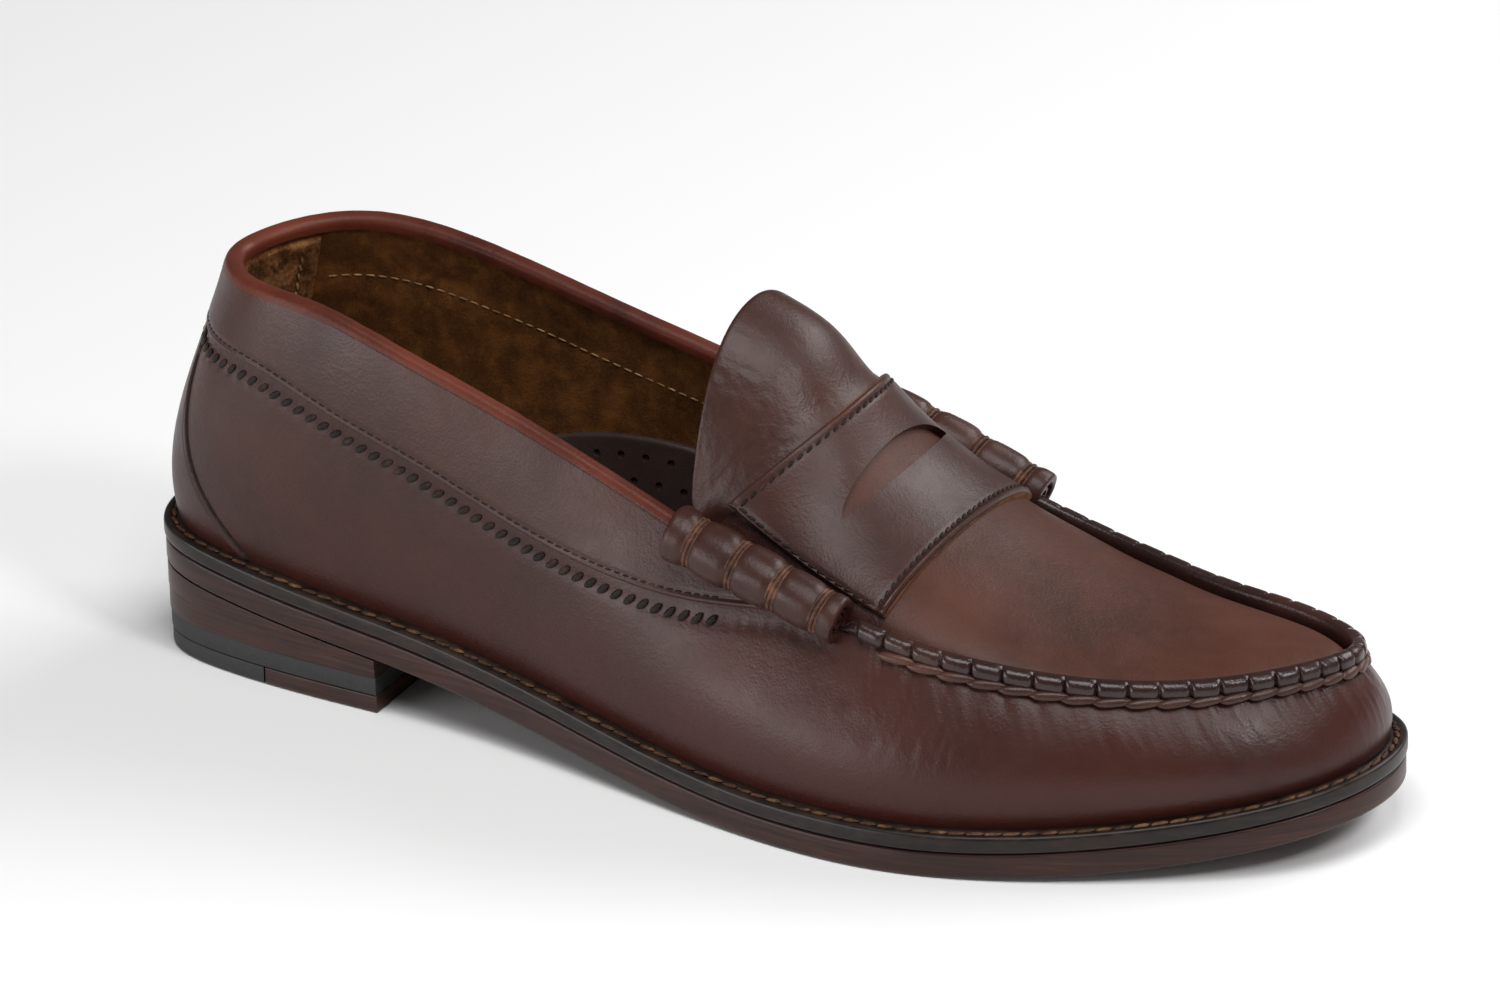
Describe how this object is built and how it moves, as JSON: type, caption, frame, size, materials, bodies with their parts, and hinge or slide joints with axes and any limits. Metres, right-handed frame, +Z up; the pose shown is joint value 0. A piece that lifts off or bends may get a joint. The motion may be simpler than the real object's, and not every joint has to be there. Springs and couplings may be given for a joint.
{
  "type": "penny loafer",
  "caption": "Slip-on leather loafer for the right foot, with a saddle strap slotted across the instep, a hand-sewn raised toe seam and a stacked heel.",
  "frame": {"origin": "on the floor, under the centre of the shoe", "axes": "+X towards the toe, +Y towards the inner (medial) side, +Z up"},
  "size_m": [0.3056, 0.1071, 0.1051],
  "materials": {
    "upper_leather": "polished deep burgundy-brown calf, fine creases",
    "binding_leather": "rolled edge, redder and slightly worn",
    "suede_lining": "brown suede with a soft uneven nap",
    "lining_leather": "plain tan lining leather",
    "sock_leather": "smooth dark grey-brown leather, perforated",
    "dark_thread": "waxed dark brown sewing thread",
    "tan_thread": "tan sewing thread",
    "welt_leather": "near-black burnished welt",
    "sole_leather": "streaked red-brown burnished sole leather",
    "heel_rubber": "matt black rubber",
    "cork": "granulated cork paste",
    "insole_board": "tan leather board",
    "rib_canvas": "stiff canvas rib",
    "shank_steel": "plain spring steel"
  },
  "bodies": {
    "shoe": {"outsole": "sole_leather", "welt": "welt_leather", "insole_rib": "rib_canvas", "cork_filler": "cork", "insole": "insole_board", "sock_liner": "sock_leather", "shank": "shank_steel", "heel_lift_upper": "sole_leather", "heel_lift_lower": "sole_leather", "heel_band": "heel_rubber", "top_piece_leather": "sole_leather", "top_piece_rubber": "heel_rubber", "vamp": "upper_leather", "collar_band": "upper_leather", "plug": "upper_leather", "saddle_strap": "upper_leather", "back_stay": "upper_leather", "topline_binding": "binding_leather", "beef_roll_lateral": "upper_leather", "beef_roll_medial": "upper_leather", "heel_counter": "insole_board", "toe_puff": "insole_board", "quarter_lining": "suede_lining", "vamp_lining": "lining_leather", "heel_grip": "suede_lining", "plug_lining": "lining_leather", "welt_thread": "dark_thread", "moc_seam_thread": "dark_thread", "collar_thread": "dark_thread", "strap_thread": "dark_thread", "lining_thread_lateral": "tan_thread", "lining_thread_medial": "tan_thread", "roll_tie_lateral_1": "dark_thread", "roll_tie_lateral_2": "dark_thread", "roll_tie_lateral_3": "dark_thread", "roll_tie_lateral_4": "dark_thread", "roll_tie_medial_1": "dark_thread", "roll_tie_medial_2": "dark_thread", "roll_tie_medial_3": "dark_thread", "roll_tie_medial_4": "dark_thread"},
    "tongue_flap": {"tongue": "upper_leather", "tongue_lining": "suede_lining"}
  },
  "joints": [
    {"name": "tongue_flex", "type": "hinge", "parent": "shoe", "child": "tongue_flap", "pos_m": [0.0235, 0.003, 0.0845], "axis": [0, 1, 0], "range_deg": [0, 20], "stiffness_Nm_per_rad": 0.05}
  ]
}
